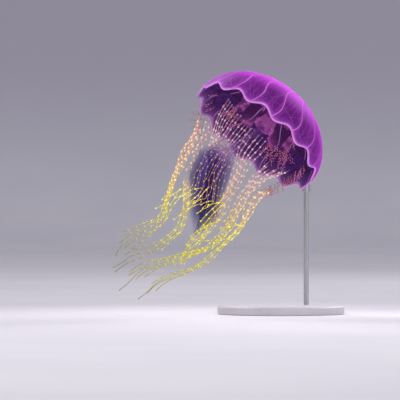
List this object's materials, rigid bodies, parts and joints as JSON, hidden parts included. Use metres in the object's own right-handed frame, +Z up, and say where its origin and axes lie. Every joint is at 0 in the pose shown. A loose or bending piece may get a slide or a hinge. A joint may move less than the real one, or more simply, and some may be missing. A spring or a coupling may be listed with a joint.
{
  "type": "jellyfish",
  "caption": "Still life-size model of a purple jellyfish swimming on a slant: lobed bell, ruffled oral arms and long trailing beaded tentacles, held by a round display stand.",
  "frame": {"origin": "centre of the underside of the stand's base, on the surface it stands on", "axes": "+Z up; -Y towards the viewer, +X to the viewer's right; the bell's crown leans to +X and away, its mouth opens down to -X and -Y"},
  "size_m": [0.3174, 0.207, 0.3358],
  "materials": {
    "bell": "gloss",
    "stomach": "gloss",
    "gonad": "satin",
    "oral_arm": "gloss",
    "oral_filaments": "gloss",
    "tentacle_upper": "gloss",
    "tentacle_lower": "gloss",
    "stand_base": "satin",
    "stand_rod": "satin"
  },
  "bodies": {
    "root": {"bell_dome": "bell", "bell_margin": "bell", "stomach": "stomach", "manubrium": "stomach", "gonad_1": "gonad", "gonad_2": "gonad", "gonad_3": "gonad", "gonad_4": "gonad", "oral_arm_1_upper": "oral_arm", "oral_arm_1_lower": "oral_arm", "oral_arm_2_upper": "oral_arm", "oral_arm_2_lower": "oral_arm", "oral_arm_3_upper": "oral_arm", "oral_arm_3_lower": "oral_arm", "oral_arm_4_upper": "oral_arm", "oral_arm_4_lower": "oral_arm", "oral_filaments_1": "oral_filaments", "oral_filaments_2": "oral_filaments", "oral_filaments_3": "oral_filaments", "oral_filaments_4": "oral_filaments", "tentacles_1_upper": "tentacle_upper", "tentacle_1_1_lower": "tentacle_lower", "tentacle_1_2_lower": "tentacle_lower", "tentacle_1_3_lower": "tentacle_lower", "tentacle_1_4_lower": "tentacle_lower", "tentacles_2_upper": "tentacle_upper", "tentacle_2_1_lower": "tentacle_lower", "tentacle_2_2_lower": "tentacle_lower", "tentacle_2_3_lower": "tentacle_lower", "tentacle_2_4_lower": "tentacle_lower", "tentacles_3_upper": "tentacle_upper", "tentacle_3_1_lower": "tentacle_lower", "tentacle_3_2_lower": "tentacle_lower", "tentacle_3_3_lower": "tentacle_lower", "tentacle_3_4_lower": "tentacle_lower", "tentacles_4_upper": "tentacle_upper", "tentacle_4_1_lower": "tentacle_lower", "tentacle_4_2_lower": "tentacle_lower", "tentacle_4_3_lower": "tentacle_lower", "tentacle_4_4_lower": "tentacle_lower", "tentacles_5_upper": "tentacle_upper", "tentacle_5_1_lower": "tentacle_lower", "tentacle_5_2_lower": "tentacle_lower", "tentacle_5_3_lower": "tentacle_lower", "tentacle_5_4_lower": "tentacle_lower", "tentacles_6_upper": "tentacle_upper", "tentacle_6_1_lower": "tentacle_lower", "tentacle_6_2_lower": "tentacle_lower", "tentacles_7_upper": "tentacle_upper", "tentacle_7_1_lower": "tentacle_lower", "tentacle_7_2_lower": "tentacle_lower", "tentacles_8_upper": "tentacle_upper", "tentacle_8_1_lower": "tentacle_lower", "tentacle_8_2_lower": "tentacle_lower", "stand_base": "stand_base", "stand_rod": "stand_rod", "stand_saddle": "stand_rod"}
  },
  "joints": []
}
